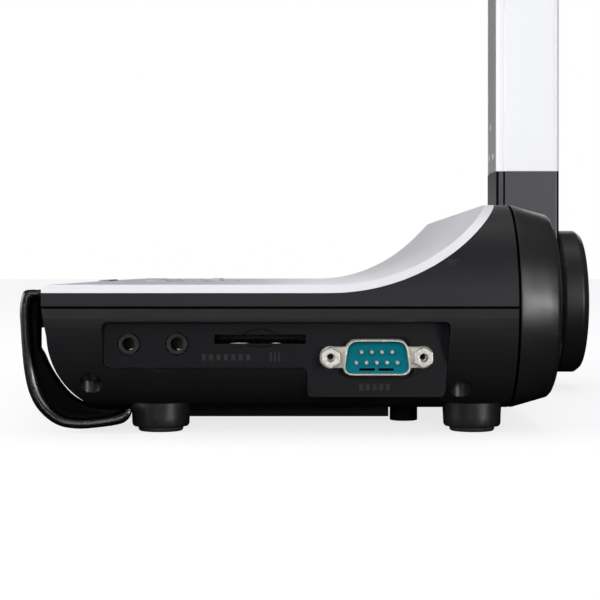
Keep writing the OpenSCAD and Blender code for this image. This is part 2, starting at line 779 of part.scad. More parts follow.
// ---- hub and column
module hub_bush() {
  placed() color([0.72, 0.55, 0.3])
  difference() {
    union() {
      cyl_x(65.2, rear_x, 9, arm_y, swing_z);
      cyl_x(65.2, 66.9, 12, arm_y, swing_z);
      cyl_x(rear_x, arm_x0 - 0.1, 11, arm_y, swing_z);
    }
    cyl_x(50, 80, shaft_r + 0.05, arm_y, swing_z);
  }
}

module swing_shaft() {
  placed() color(steel)
  difference() {
    union() {
      cyl_x(58.5, shaft_x1, shaft_r, arm_y, swing_z);
      cyl_x(arm_x1, shaft_x1, 9, arm_y, swing_z);
    }
    cyl_x(50, 120, 3.2, arm_y, swing_z);
  }
}

module spring_washers() {
  placed() color(steel)
  for (i = [0:2]) difference() {
    translate([63.4 + i*0.6, arm_y, swing_z]) rotate([0, 90, 0]) cylinder(h=0.55, r=10.5);
    cyl_x(60, 70, shaft_r + 0.1, arm_y, swing_z);
  }
}

module swing_nut() {
  placed() color(steel)
  difference() {
    translate([59.4, arm_y, swing_z]) rotate([0, 90, 0]) cylinder(h=4, r=10, $fn=6);
    cyl_x(50, 70, shaft_r + 0.02, arm_y, swing_z);
  }
}

// the column's outline from above
module arm_plan() { polygon(rounded(rect(-arm_d/2, arm_d/2, -arm_w/2, arm_w/2), 1.6)); }

module arm_foot() {
  placed() color([0.28, 0.28, 0.31])
  difference() {
    union() {
      cyl_x(arm_x0, arm_x1, arm_w/2, arm_y, swing_z);
      along_z(swing_z, sleeve_z) translate([arm_xc, arm_y]) arm_plan();
    }
    cyl_x(60, 110, shaft_r + 0.02, arm_y, swing_z);
    // grooves that carry on up the column
    for (s = [-1, 1]) translate([0, arm_y + s*arm_w/2, 0])
      box(arm_x0 + 2.6, arm_x0 + 3.3, -0.45, 0.45, swing_z + 16, sleeve_z + 1);
    box(arm_x0 + 4, arm_x1 - 4, arm_y - 8, arm_y + 8, 48, sleeve_z + 1);
    // way for the wires
    cyl_z(swing_z, 60, 2.6, arm_xc, arm_y);
  }
}

module hub_disc() {
  placed() color(black)
  translate([arm_x1, arm_y, swing_z]) rotate([0, 90, 0]) rotate_extrude() polygon([
    [9.3, 0], [disc_r - 0.8, 0], [disc_r, 0.8], [disc_r, disc_t - 2.3], [disc_r - 1.6, disc_t - 0.3],
    [disc_r - 3, disc_t], [0, disc_t], [0, disc_t - 1.4], [9.3, disc_t - 1.4]]);
}

// the column's own frame: its middle at the top of the dark foot
module on_foot() { translate([arm_xc, arm_y, sleeve_z]) children(); }

module arm_tube() {
  placed() color(white)
  on_foot() difference() {
    along_z(0, tube_top - sleeve_z) arm_plan();
    along_z(-1, 200)
      polygon(rounded(rect(-arm_d/2 + 3, arm_d/2 - 2, -arm_w/2 + 2.2, arm_w/2 - 2.2), 1));
    for (s = [-1, 1]) {
      box(-arm_d/2 + 2.6, -arm_d/2 + 3.3, s*arm_w/2 - 0.45, s*arm_w/2 + 0.45, -1, 200);
      box(arm_d/2 - 1.9, arm_d/2 - 1.3, s*arm_w/2 - 0.35, s*arm_w/2 + 0.35, -1, 200);
    }
    box(-arm_d/2 - 1, -arm_d/2 + 1.2, -12.9, 12.9, -1, 200);
  }
}

module arm_strip() {
  placed() color(grey)
  on_foot() box(-arm_d/2 + 0.1, -arm_d/2 + 1.2, -12.8, 12.8, 0.2, tube_top - 0.2 - sleeve_z);
}

module arm_cable() {
  placed() color([0.1, 0.1, 0.1]) {
    cyl_z(52, sleeve_z, 2.5, arm_xc, arm_y);
    on_foot() cyl_z(-0.5, tube_top - sleeve_z, 2.5, 0, 0);
  }
}

module elbow_fork() {
  placed() color([0.28, 0.28, 0.31])
  difference() {
    union() {
      translate([elbow_x, arm_y]) along_z(tube_top, tube_top + 2.5) arm_plan();
      for (y = [arm_y - arm_w/2, arm_y + arm_w/2 - 6]) {
        box(elbow_x - 11.8, elbow_x + 11.8, y, y + 6, elbow_z - 15, elbow_z);
        cyl_y(y, y + 6, 11.8, elbow_x, elbow_z);
      }
    }
    cyl_y(0, 120, 4.02, elbow_x, elbow_z);
    cyl_z(elbow_z - 20, elbow_z - 11, 2.6, elbow_x, arm_y);
  }
}

module elbow_pin() {
  placed() color(steel) cyl_y(arm_y - arm_w/2 - 0.1, arm_y + arm_w/2 + 0.1, 4, elbow_x, elbow_z);
}

module elbow_caps() {
  placed() color(black)
  for (s = [-1, 1]) translate([elbow_x, arm_y + s*(arm_w/2 + 0.1), elbow_z]) rotate([-90*s, 0, 0]) {
    cylinder(h=1.4, r=9.5);
    translate([0, 0, 1.4]) cylinder(h=0.8, r1=9.5, r2=8.4);
  }
}

module reach_knuckle() {
  placed() color([0.28, 0.28, 0.31])
  difference() {
    union() {
      cyl_y(arm_y - plug[0], arm_y + plug[0], 11.4, elbow_x, elbow_z);
      box(elbow_x - 22, elbow_x, arm_y - plug[0], arm_y + plug[0], elbow_z - plug[1], elbow_z + plug[1]);
    }
    cyl_y(0, 120, 4.05, elbow_x, elbow_z);
  }
}

module reach_tube() {
  placed() color(white)
  translate([0, arm_y, elbow_z]) difference() {
    along_x(tilt_x + 21, elbow_x - 17.5) polygon(rounded(rect(-10.5, 10.5, -10.5, 10.5), 2));
    for (span = [[elbow_x - 22.05, elbow_x], [tilt_x + 20, tilt_x + 30.05]])
      box(span[0], span[1], -plug[0] - 0.05, plug[0] + 0.05, -plug[1] - 0.05, plug[1] + 0.05);
    box(tilt_x + 29, elbow_x - 20, -8, 8, -8, 8);
    for (s = [-1, 1]) box(tilt_x, elbow_x, s*10.5 - 0.4, s*10.5 + 0.4, 6.8, 7.5);
  }
}

module reach_end() {
  placed() color([0.28, 0.28, 0.31])
  difference() {
    union() {
      cyl_y(arm_y - 6, arm_y + 6, 9.8, tilt_x, elbow_z);
      box(tilt_x, tilt_x + 30, arm_y - 6, arm_y + 6, elbow_z - 6, elbow_z + 6);
      box(tilt_x + 18, tilt_x + 30, arm_y - plug[0], arm_y + plug[0], elbow_z - plug[1], elbow_z + plug[1]);
    }
    cyl_y(0, 120, 3.05, tilt_x, elbow_z);
  }
}

// ---- camera head: hx0 is its front, hx1 its rear
hx1 = tilt_x - head_gap;
hx0 = hx1 - head_l;
lens_x = hx0 + 24;
module head_plan(e) {
  translate([0, arm_y]) polygon(rounded(rect(hx0 + e, hx1 - e, -head_w/2 + e, head_w/2 - e), 11 - e, 8));
}

module head_lower() {
  placed() color(white)
  difference() {
    union() {
      along_z(elbow_z - 17, elbow_z - 15.5) head_plan(1.2);
      along_z(elbow_z - 15.5, elbow_z - 0.2) head_plan(0);
      for (s = [-1, 1]) translate([0, arm_y + s*9.5 - 3, 0]) {
        box(hx1 - 2, tilt_x, 0, 6, elbow_z - 9.5, elbow_z - 0.2);
        cyl_y(0, 6, 9.5, tilt_x, elbow_z);
      }
    }
    along_z(elbow_z - 14.5, elbow_z + 5) head_plan(2.2);
    cyl_y(0, 120, 3.02, tilt_x, elbow_z);
    cyl_z(elbow_z - 30, elbow_z, barrel_r + 0.05, lens_x, arm_y);
    box(hx1 - 12, hx1 - 5, arm_y - 16, arm_y + 16, elbow_z - 30, elbow_z - 10);
  }
}

module head_upper() {
  placed() color(grey)
  difference() {
    union() {
      along_z(elbow_z - 0.2, elbow_z + 14) head_plan(0);
      along_z(elbow_z + 14, elbow_z + 16.5) head_plan(1.6);
    }
    along_z(elbow_z - 1, elbow_z + 13) head_plan(2.2);
  }
}

module lens_barrel() {
  placed() color(black)
  difference() {
    union() {
      cyl_z(elbow_z - 28.4, elbow_z - 6, barrel_r, lens_x, arm_y);
      cyl_z(elbow_z - 30, elbow_z - 28.4, barrel_r + 1.4, lens_x, arm_y);
    }
    translate([lens_x, arm_y, elbow_z - 30.1]) cylinder(h=5, r1=11.8, r2=9.2);
    cyl_z(elbow_z - 26, elbow_z - 5, 9, lens_x, arm_y);
  }
}

module lens_glass() {
  placed() color([0.3, 0.35, 0.5])
  intersection() {
    cyl_z(elbow_z - 26, elbow_z - 18, 8.98, lens_x, arm_y);
    translate([lens_x, arm_y, elbow_z - 5]) sphere(r=20);
  }
}

module focus_ring() {
  placed() color(black2)
  difference() {
    union() {
      cyl_z(elbow_z - 28, elbow_z - 17.5, barrel_r + 3, lens_x, arm_y);
      for (a = [0:15:345]) translate([lens_x, arm_y, elbow_z - 26.6]) rotate([0, 0, a])
        box(barrel_r + 2.7, barrel_r + 3.6, -1, 1, 0, 7.6);
    }
    cyl_z(elbow_z - 40, elbow_z, barrel_r + 0.06, lens_x, arm_y);
  }
}

module sensor_board() {
  placed() color([0.1, 0.3, 0.16]) {
    box(hx0 + 5, hx1 - 5, arm_y - 20, arm_y + 20, elbow_z - 5.9, elbow_z - 4.4);
    box(lens_x - 8, lens_x + 8, arm_y - 8, arm_y + 8, elbow_z - 4.4, elbow_z + 1);
    box(lens_x - 5, lens_x + 5, arm_y - 5, arm_y + 5, elbow_z - 7.6, elbow_z - 5.9);
  }
}

module lamp_lens() {
  placed() color([0.95, 0.95, 0.85]) {
    box(hx1 - 11.95, hx1 - 5.05, arm_y - 15.95, arm_y + 15.95, elbow_z - 16.6, elbow_z - 13.5);
    for (y = [-12:6:12]) translate([0, arm_y + y, 0])
      box(hx1 - 10, hx1 - 7, -1.5, 1.5, elbow_z - 13.5, elbow_z - 12);
  }
}

module tilt_pin() {
  placed() color(steel) cyl_y(arm_y - 12.4, arm_y + 12.4, 3, tilt_x, elbow_z);
}

lower_case();
upper_case();
top_cover();
rear_cap();
port_panel();
far_panel();
foot_pads();
case_screws();
rail_guides();
rail_stops();
main_board();
board_chips();
heat_sink();
io_board();
audio_jacks();
jack_contacts();
sd_socket();
sd_contacts();
dsub_shell();
dsub_insert();
dsub_pins();
jack_screws();
power_inlet();
vga_socket();
usb_socket();
ir_window();
led_windows();
key_board();
key_ok();
key_back();
key_power();
key_menu();
key_source();
key_freeze();
key_light();
handle_grip();
handle_rails();
hub_bush();
swing_shaft();
spring_washers();
swing_nut();
arm_foot();
hub_disc();
arm_tube();
arm_strip();
arm_cable();
elbow_fork();
elbow_pin();
elbow_caps();
reach_knuckle();
reach_tube();
reach_end();
head_lower();
head_upper();
lens_barrel();
lens_glass();
focus_ring();
sensor_board();
lamp_lens();
tilt_pin();
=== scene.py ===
"""Looks of the video magnifier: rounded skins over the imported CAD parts, small surface details,
procedural materials and a plain studio. Metres, in the CAD frame: +X rear, +Y left, +Z up."""

import json
import math

import bmesh
import bpy
from mathutils import Matrix, Vector


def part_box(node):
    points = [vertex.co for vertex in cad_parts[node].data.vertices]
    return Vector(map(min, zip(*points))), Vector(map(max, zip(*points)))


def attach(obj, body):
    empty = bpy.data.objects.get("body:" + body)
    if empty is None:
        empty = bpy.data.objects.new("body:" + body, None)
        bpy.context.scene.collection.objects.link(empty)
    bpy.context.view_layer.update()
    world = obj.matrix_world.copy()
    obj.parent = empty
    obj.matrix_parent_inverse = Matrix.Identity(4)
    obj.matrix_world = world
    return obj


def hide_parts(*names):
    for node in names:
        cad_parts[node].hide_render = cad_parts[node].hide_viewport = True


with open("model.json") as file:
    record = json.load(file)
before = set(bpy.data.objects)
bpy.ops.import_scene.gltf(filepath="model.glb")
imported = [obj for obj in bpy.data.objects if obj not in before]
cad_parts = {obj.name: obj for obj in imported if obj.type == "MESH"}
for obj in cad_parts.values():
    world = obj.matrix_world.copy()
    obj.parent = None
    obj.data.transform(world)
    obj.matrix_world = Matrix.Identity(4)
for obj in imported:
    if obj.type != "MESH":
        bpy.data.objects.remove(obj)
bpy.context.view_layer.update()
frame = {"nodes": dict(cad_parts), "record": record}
MM = 0.001

# ---------------------------------------------------------------- what the CAD says
record = frame["record"]
body_of_node = {node: body for body, nodes in record["behaviour"]["bodies"].items() for node in nodes}
slot_of_node = {row["node"]: row["material_slot"] for row in record["subparts"]}

case_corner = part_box("lower_case")[1]  # its x is the case's rear end, and its z the case's upper edge
MID_X = case_corner.x - 59.2 * MM  # near the middle of the base; the camera and the lights face it


# ---------------------------------------------------------------- material helpers
LOOKS = {}  # every material, by its name


def new_material(name):
    """A node material, kept in LOOKS. Gives its node tree, its Principled shader and object coordinates."""
    mat = bpy.data.materials.new(name)
    mat.use_nodes = True
    tree = mat.node_tree
    coords = tree.nodes.new("ShaderNodeTexCoord")
    LOOKS[name] = mat
    return tree, tree.nodes["Principled BSDF"], coords.outputs["Object"]


def noise(tree, coords, scale, detail=3.0, stretch=None):
    """A noise value over the surface, scale features to the metre. stretch makes it run in lines."""
    if stretch:
        mapping = tree.nodes.new("ShaderNodeMapping")
        mapping.inputs["Scale"].default_value = stretch
        tree.links.new(coords, mapping.inputs["Vector"])
        coords = mapping.outputs["Vector"]
    node = tree.nodes.new("ShaderNodeTexNoise")
    node.inputs["Scale"].default_value = scale
    node.inputs["Detail"].default_value = detail
    tree.links.new(coords, node.inputs["Vector"])
    return node.outputs["Fac"]


def spread(tree, value, low, high, from_low=0.3, from_high=0.7):
    """Maps a value from one range to another. Most noise lies between 0.3 and 0.7."""
    node = tree.nodes.new("ShaderNodeMapRange")
    node.inputs["From Min"].default_value = from_low
    node.inputs["From Max"].default_value = from_high
    node.inputs["To Min"].default_value = low
    node.inputs["To Max"].default_value = high
    tree.links.new(value, node.inputs["Value"])
    return node.outputs["Result"]


def blend_colors(tree, value, low, high, low_output=None):
    """A colour between two, by a value from 0 to 1. low_output is a colour output used instead of low."""
    node = tree.nodes.new("ShaderNodeMix")
    node.data_type = "RGBA"
    node.inputs["A"].default_value = (*low, 1)
    node.inputs["B"].default_value = (*high, 1)
    if low_output:
        tree.links.new(low_output, node.inputs["A"])
    tree.links.new(value, node.inputs["Factor"])
    return node.outputs["Result"]


def scaled(color, factor):
    """A lighter or darker version of a colour."""
    return tuple(min(1.0, channel * factor) for channel in color)


def add_bump(tree, shader, value, strength, distance, normal=None):
    """Fine relief from a value, distance in metres, on top of a normal when one is given."""
    node = tree.nodes.new("ShaderNodeBump")
    node.inputs["Strength"].default_value = strength
    node.inputs["Distance"].default_value = distance
    tree.links.new(value, node.inputs["Height"])
    if normal:
        tree.links.new(normal, node.inputs["Normal"])
    tree.links.new(node.outputs["Normal"], shader.inputs["Normal"])


def soft_edges(tree, radius):
    """A surface normal that turns smoothly round the edges, radius in metres."""
    node = tree.nodes.new("ShaderNodeBevel")
    node.samples = 16
    node.inputs["Radius"].default_value = radius
    return node.outputs["Normal"]


# ---------------------------------------------------------------- kinds of material
def moulded(name, color, rough, grain=900, grain_depth=0.04 * MM,
            mottle=0.05, scuffs=0.0, spec=0.5, soften=0):
    """Moulded plastic: fine spark-eroded grain, slow colour and gloss drift, and a few pale scuffs."""
    tree, shader, coords = new_material(name)
    cloud = spread(tree, noise(tree, coords, 22, 4), 0.0, 1.0)
    base = blend_colors(tree, cloud, scaled(color, 1 - mottle), scaled(color, 1 + mottle))
    if scuffs:
        rubbed = spread(tree, noise(tree, coords, 70, 8, (1, 1, 3)), 0.0, scuffs, 0.66, 0.74)
        pale = tuple(1.5 * channel + 0.03 for channel in color)
        base = blend_colors(tree, rubbed, color, pale, base)
    tree.links.new(base, shader.inputs["Base Color"])
    gloss = spread(tree, noise(tree, coords, 140, 5), rough - 0.03, rough + 0.04)
    tree.links.new(gloss, shader.inputs["Roughness"])
    shader.inputs["Specular IOR Level"].default_value = spec
    normal = soft_edges(tree, soften) if soften else None
    add_bump(tree, shader, noise(tree, coords, grain, 2), 0.5, grain_depth, normal)


def metal(name, color, rough, stretch=(1, 1, 1), scale=500, bare=0.72):
    """Plated or turned metal: fine directional scratches, slight tarnish, and a dull share (1 - bare)."""
    tree, shader, coords = new_material(name)
    shader.inputs["Metallic"].default_value = bare
    tarnish = spread(tree, noise(tree, coords, 180, 4), 0.0, 1.0)
    tree.links.new(blend_colors(tree, tarnish, scaled(color, 0.9), color), shader.inputs["Base Color"])
    lines = noise(tree, coords, scale, 3, stretch)
    tree.links.new(spread(tree, lines, rough - 0.04, rough + 0.06), shader.inputs["Roughness"])
    add_bump(tree, shader, lines, 0.15, 0.003 * MM)


def rubber(name, color):
    """Dull rubber or cable sheath with a little pale dust."""
    tree, shader, coords = new_material(name)
    dust = spread(tree, noise(tree, coords, 240, 6), 0.0, 1.0, 0.4, 0.75)
    tree.links.new(blend_colors(tree, dust, color, scaled(color, 1.9)), shader.inputs["Base Color"])
    tree.links.new(spread(tree, noise(tree, coords, 400, 3), 0.72, 0.9), shader.inputs["Roughness"])
    add_bump(tree, shader, noise(tree, coords, 1500, 3), 0.6, 0.05 * MM)


def circuit_board(name, color):
    """Solder mask over copper tracks, drawn by a brick pattern."""
    tree, shader, coords = new_material(name)
    tracks = tree.nodes.new("ShaderNodeTexBrick")
    tracks.inputs["Scale"].default_value = 260
    tracks.inputs["Mortar Size"].default_value = 0.09
    tracks.inputs["Color1"].default_value = (*color, 1)
    tracks.inputs["Color2"].default_value = (*scaled(color, 0.8), 1)
    tracks.inputs["Mortar"].default_value = (*scaled(color, 1.9), 1)
    tree.links.new(coords, tracks.inputs["Vector"])
    tree.links.new(tracks.outputs["Color"], shader.inputs["Base Color"])
    tree.links.new(spread(tree, noise(tree, coords, 300), 0.28, 0.45), shader.inputs["Roughness"])
    add_bump(tree, shader, tracks.outputs["Fac"], 0.4, 0.04 * MM)


def tinted_window(name, color, rough=0.08):
    """A dark window with a slight depth of colour and faint handling marks."""
    tree, shader, coords = new_material(name)
    smear = spread(tree, noise(tree, coords, 120, 6), 0.0, 1.0)
    tree.links.new(blend_colors(tree, smear, color, scaled(color, 1.5)), shader.inputs["Base Color"])
    gloss = spread(tree, noise(tree, coords, 90, 6), rough, rough + 0.12)
    tree.links.new(gloss, shader.inputs["Roughness"])
    shader.inputs["Coat Weight"].default_value = 0.6
    shader.inputs["Coat Roughness"].default_value = 0.03
    add_bump(tree, shader, noise(tree, coords, 200, 2), 0.1, 0.02 * MM)


def coated_glass(name, facing, edge):
    """Lens glass with a painted reflection of its coating: a colour that shifts towards the edge of the
    curve.
    """
    tree, shader, coords = new_material(name)
    weight = tree.nodes.new("ShaderNodeLayerWeight")
    weight.inputs["Blend"].default_value = 0.35
    tree.links.new(blend_colors(tree, weight.outputs["Facing"], facing, edge), shader.inputs["Base Color"])
    tree.links.new(spread(tree, noise(tree, coords, 80, 6), 0.01, 0.05), shader.inputs["Roughness"])
    shader.inputs["Coat Weight"].default_value = 1.0
    shader.inputs["Coat Roughness"].default_value = 0.01
    shader.inputs["Specular IOR Level"].default_value = 0.8


def diffuser(name, low, high):
    """A frosted lamp window, a little cloudy."""
    tree, shader, coords = new_material(name)
    cloud = spread(tree, noise(tree, coords, 500, 4), 0.0, 1.0)
    tree.links.new(blend_colors(tree, cloud, low, high), shader.inputs["Base Color"])
    shader.inputs["Subsurface Weight"].default_value = 0.2
    shader.inputs["Subsurface Scale"].default_value = 2 * MM
    tree.links.new(spread(tree, noise(tree, coords, 700), 0.35, 0.5), shader.inputs["Roughness"])
    add_bump(tree, shader, noise(tree, coords, 2200, 1), 0.5, 0.06 * MM)


# ---------------------------------------------------------------- the looks
def dark_plastics():
    """The cases, the handle, the port panels, the chips, and painted shade for what lies in shadow under
    the base and in the screw wells.
    """
    moulded("case_black", (0.0125, 0.0125, 0.014), 0.38, scuffs=0.5, spec=0.42)
    moulded("band_black", (0.0085, 0.008, 0.0105), 0.46, scuffs=0.4, spec=0.42)
    moulded("panel_black", (0.002, 0.0018, 0.0035), 0.5, grain=1200, scuffs=0.3, spec=0.3)
    moulded("handle_black", (0.002, 0.002, 0.0025), 0.24, grain_depth=0.01 * MM, spec=1.0, soften=2 * MM)
    # painted shade: a blacker, duller copy of the plastic, for parts that lie in shadow
    moulded("painted_shade_black", (0.001, 0.001, 0.001), 0.6, spec=0.12)
    moulded("chip_black", (0.02, 0.02, 0.022), 0.55, grain=2500, mottle=0.1)


def pale_plastics():
    """The cover, the keys, the arm with its grey joints and foot, and the nine-pin connector's insert."""
    moulded("cover_white", (0.78, 0.78, 0.825), 0.36, grain=1500, grain_depth=0.02 * MM, mottle=0.012)
    moulded("arm_white", (0.93, 0.935, 0.95), 0.42, grain=1700, grain_depth=0.02 * MM, mottle=0.01)
    moulded("strip_grey", (0.34, 0.34, 0.35), 0.5, grain=1300, mottle=0.04, scuffs=0.4)
    # foot_grey has sleeve_grey's colour, kept apart so that painted shade falls on the arm's foot alone
    for name in ("sleeve_grey", "foot_grey"):
        moulded(name, (0.047, 0.047, 0.058), 0.45, mottle=0.06, scuffs=0.5)
    moulded("key_grey", (0.42, 0.42, 0.45), 0.36, grain=1600, grain_depth=0.02 * MM, mottle=0.03)
    moulded("insert_teal", (0.0, 0.15, 0.2), 0.55, grain=2200, grain_depth=0.02 * MM, spec=0.08)


def metals():
    """Plain steel, the connector shells, the contacts, the bush and the heat sink."""
    metal("steel", (0.88, 0.85, 0.78), 0.26, (1, 14, 1), bare=0.5)
    metal("connector_metal", (0.86, 0.83, 0.74), 0.24, (1, 10, 1), bare=0.5)
    metal("card_metal", (0.95, 0.93, 0.9), 0.24, (10, 1, 1), bare=0.3)
    metal("contact_gold", (0.86, 0.68, 0.34), 0.22)
    metal("bronze", (0.55, 0.4, 0.2), 0.4, scale=1500)
    metal("heat_metal", (0.5, 0.5, 0.52), 0.42, (12, 1, 1))


def other_looks():
    """Rubber, boards, windows and glass."""
    rubber("pad_rubber", (0.01, 0.01, 0.01))
    rubber("wire_black", (0.014, 0.014, 0.015))
    circuit_board("board_green", (0.015, 0.09, 0.035))
    tinted_window("smoke", (0.012, 0.003, 0.005))
    tinted_window("led_smoke", (0.05, 0.055, 0.065), 0.18)
    coated_glass("lens", facing=(0.05, 0.03, 0.11), edge=(0.02, 0.16, 0.12))
    diffuser("lamp_diffuser", (0.78, 0.78, 0.72), (0.92, 0.92, 0.88))


# ---------------------------------------------------------------- painted shade in seams and recesses
# the colour and shine of painted shade
PAINTED_SHADE = (0.0005, 0.0005, 0.0005)
PAINTED_SHADE_SHINE = 0.03


def between(tree, coords, axis, low, high):
    """1 where the distance from the frame's origin along an axis lies between low and high, else 0."""
    parts = tree.nodes.new("ShaderNodeSeparateXYZ")
    tree.links.new(coords, parts.inputs["Vector"])
    distance = tree.nodes.new("ShaderNodeMath")
    distance.operation = "ABSOLUTE"
    tree.links.new(parts.outputs[axis], distance.inputs[0])
    inside = tree.nodes.new("ShaderNodeMath")
    inside.operation = "COMPARE"
    tree.links.new(distance.outputs["Value"], inside.inputs[0])
    inside.inputs[1].default_value = (low + high) / 2
    inside.inputs[2].default_value = (high - low) / 2
    return inside.outputs["Value"]


def paint_shade(look, places):
    """Paints shade on a look, black and dull in narrow places: each is (axis, low, high), as between takes
    them.
    """
    tree = LOOKS[look].node_tree
    shader = tree.nodes["Principled BSDF"]
    base = shader.inputs["Base Color"]
    shine = shader.inputs["Specular IOR Level"]
    coords = tree.nodes["Texture Coordinate"].outputs["Object"]
    gloss = None
    for axis, low, high in places:
        shade_mask = between(tree, coords, axis, low, high)
        tree.links.new(blend_colors(tree, shade_mask, PAINTED_SHADE, PAINTED_SHADE, base.links[0].from_socket), base)
        dull = tree.nodes.new("ShaderNodeMix")
        dull.inputs["A"].default_value = shine.default_value
        dull.inputs["B"].default_value = PAINTED_SHADE_SHINE
        if gloss:
            tree.links.new(gloss, dull.inputs["A"])
        tree.links.new(shade_mask, dull.inputs["Factor"])
        gloss = dull.outputs["Result"]
    tree.links.new(gloss, shine)


def paint_seam_shade():
    """Painted shade in the parting line between the two cases, and in the seam in front of the rear cap."""
    seam = 0.72 * MM
    reach = 0.02 * MM  # how far the dark goes past the edges of a seam
    parting = ("Z", case_corner.z - reach, case_corner.z + seam)
    cap_seam = ("X", case_corner.x - seam, case_corner.x + reach)
    paint_shade("band_black", [parting, cap_seam])
    paint_shade("case_black", [cap_seam])


def paint_side_shade():
    """Painted shade on the webs of the handle's side plates, and in the grooves and upright edges of the
    arm's foot.
    """
    side_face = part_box("handle_grip")[1].y
    paint_shade("handle_black", [("Y", side_face - 3.7 * MM, side_face - 0.5 * MM)])
    near_side, far_side = (corner.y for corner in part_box("arm_foot"))
    shallow, deep = 0.12 * MM, 0.8 * MM
    paint_shade("foot_grey", [
        ("Y", near_side + shallow, near_side + deep), ("Y", far_side - deep, far_side - shallow)])


def paint_socket_shade():
    """Painted shade in the nine-pin insert's keying slots and recesses, and in the card slot but for two
    stretches of its lip, which show the glints.
    """
    insert_front = -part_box("dsub_insert")[0].y
    paint_shade("insert_teal", [("Y", 0, insert_front - 0.5 * MM)])
    low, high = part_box("sd_socket")
    end = 1.1 * MM  # length of the dark stretch at each end of the slot
    # painted shade over the card socket's metal; the stretches of its lip that stay bright show as the
    # glints
    paint_shade("card_metal", [
        ("Y", 0, -low.y - 1.9 * MM), ("X", 0, low.x + end), ("X", high.x - end, high.x),
        ("Z", 0, low.z + 0.46 * MM)])


dark_plastics()
pale_plastics()
metals()
other_looks()
paint_seam_shade()
paint_side_shade()
paint_socket_shade()


# ---------------------------------------------------------------- skins over the CAD parts
EDGE_ANGLE = math.radians(32)  # edges sharper than this are rounded

# the edge radius of each skinned part, in millimetres
EDGES = {
    "lower_case": 0.2, "upper_case": 0.2, "top_cover": 0.9, "rear_cap": 0.35, "port_panel": 0.25,
    "far_panel": 0.25, "handle_grip": 0.3, "foot_pads": 0.2, "rail_guides": 0.2, "rail_stops": 0.3,
    "hub_disc": 0.4, "arm_foot": 0.35, "arm_tube": 0.18, "arm_strip": 0.2, "elbow_fork": 0.5,
    "elbow_caps": 0.25, "reach_knuckle": 0.35, "reach_tube": 0.3, "reach_end": 0.4, "head_lower": 0.5,
    "head_upper": 0.6, "lens_barrel": 0.3, "focus_ring": 0.25, "audio_jacks": 0.18, "dsub_shell": 0.15,
    "jack_screws": 0.2, "vga_socket": 0.15, "usb_socket": 0.1, "power_inlet": 0.2, "key_ok": 0.3,
    "key_back": 0.25, "key_power": 0.3, "key_menu": 0.15, "key_source": 0.15, "key_freeze": 0.15,
    "key_light": 0.15, "sd_socket": 0.05, "case_screws": 0.15, "lamp_lens": 0.15, "ir_window": 0.15,
    "handle_rails": 0.15,
}
# parts whose look is not the one that their material slot is named after
LOOK_OF_NODE = {
    # foot_grey, handle_black and card_metal carry painted shade from the paint_ functions below
    "sd_socket": "card_metal", "handle_grip": "handle_black", "arm_foot": "foot_grey",
    # painted shade: the rails lie in shadow under the base; the case screws are black screws, made blacker
    # for the shade of their wells
    "rail_guides": "painted_shade_black", "rail_stops": "painted_shade_black", "case_screws": "painted_shade_black",
}


def cleaned(node):
    """A welded copy of a CAD part's mesh, with its flat faces joined into whole faces."""
    mesh = frame["nodes"][node].data.copy()
    mesh.materials.clear()
    bm = bmesh.new()
    bm.from_mesh(mesh)
    bmesh.ops.remove_doubles(bm, verts=bm.verts, dist=0.002 * MM)
    flat = math.radians(0.1)
    bmesh.ops.dissolve_limit(bm, angle_limit=flat, verts=bm.verts, edges=bm.edges, delimit=set())
    bmesh.ops.recalc_face_normals(bm, faces=bm.faces)
    bm.to_mesh(mesh)
    bm.free()
    return mesh


def round_edges(obj, radius):
    """Smooth shading, and edges rounded by a bevel, radius in millimetres."""
    for polygon in obj.data.polygons:
        polygon.use_smooth = True
    obj.data.set_sharp_from_angle(angle=EDGE_ANGLE)
    rounding = obj.modifiers.new("edges", "BEVEL")
    rounding.width = radius * MM
    rounding.segments = 3
    rounding.limit_method = "ANGLE"
    rounding.angle_limit = EDGE_ANGLE
    rounding.use_clamp_overlap = True
    rounding.harden_normals = True
    rounding.miter_outer = "MITER_ARC"
    weighing = obj.modifiers.new("normals", "WEIGHTED_NORMAL")
    weighing.keep_sharp = True


def add_piece(name, mesh, look, body):
    """A new object with a look's material, which rides on a body."""
    obj = bpy.data.objects.new(name, mesh)
    bpy.context.scene.collection.objects.link(obj)
    mesh.materials.append(LOOKS[look])
    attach(obj, body)
    return obj


def skin(node, radius):
    """Stands for a CAD part: the same shape with rounded edges and its own material."""
    slot = slot_of_node[node]
    obj = add_piece(node + "_skin", cleaned(node), LOOK_OF_NODE.get(node, slot), body_of_node[node])
    round_edges(obj, radius)
    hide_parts(node)


def paint(node, obj):
    """Gives a CAD part that keeps its own mesh its material."""
    obj.data.materials.clear()
    obj.data.materials.append(LOOKS[slot_of_node[node]])


for node, radius in EDGES.items():
    skin(node, radius)

# the remaining CAD parts are seen only through openings
for node, obj in frame["nodes"].items():
    if node not in EDGES:
        paint(node, obj)


# ---------------------------------------------------------------- small surface details
def raised_bars(name, bars, depth, axis, look, body):
    """One piece of small raised bars. bars is a list of (centre, length, height), depth runs along axis."""
    bm = bmesh.new()
    other = [a for a in range(3) if a != axis]
    for centre, length, height in bars:
        size = [0, 0, 0]
        size[axis] = depth
        size[other[0]] = length
        size[other[1]] = height
        place = Matrix.Translation(Vector(centre)) @ Matrix.Diagonal((*size, 1))
        bmesh.ops.create_cube(bm, size=1, matrix=place)
    edge = depth * 0.3
    bmesh.ops.bevel(bm, geom=bm.edges[:], offset=edge, segments=1, affect="EDGES", clamp_overlap=True)
    mesh = bpy.data.meshes.new(name)
    bm.to_mesh(mesh)
    bm.free()
    add_piece(name, mesh, look, body)


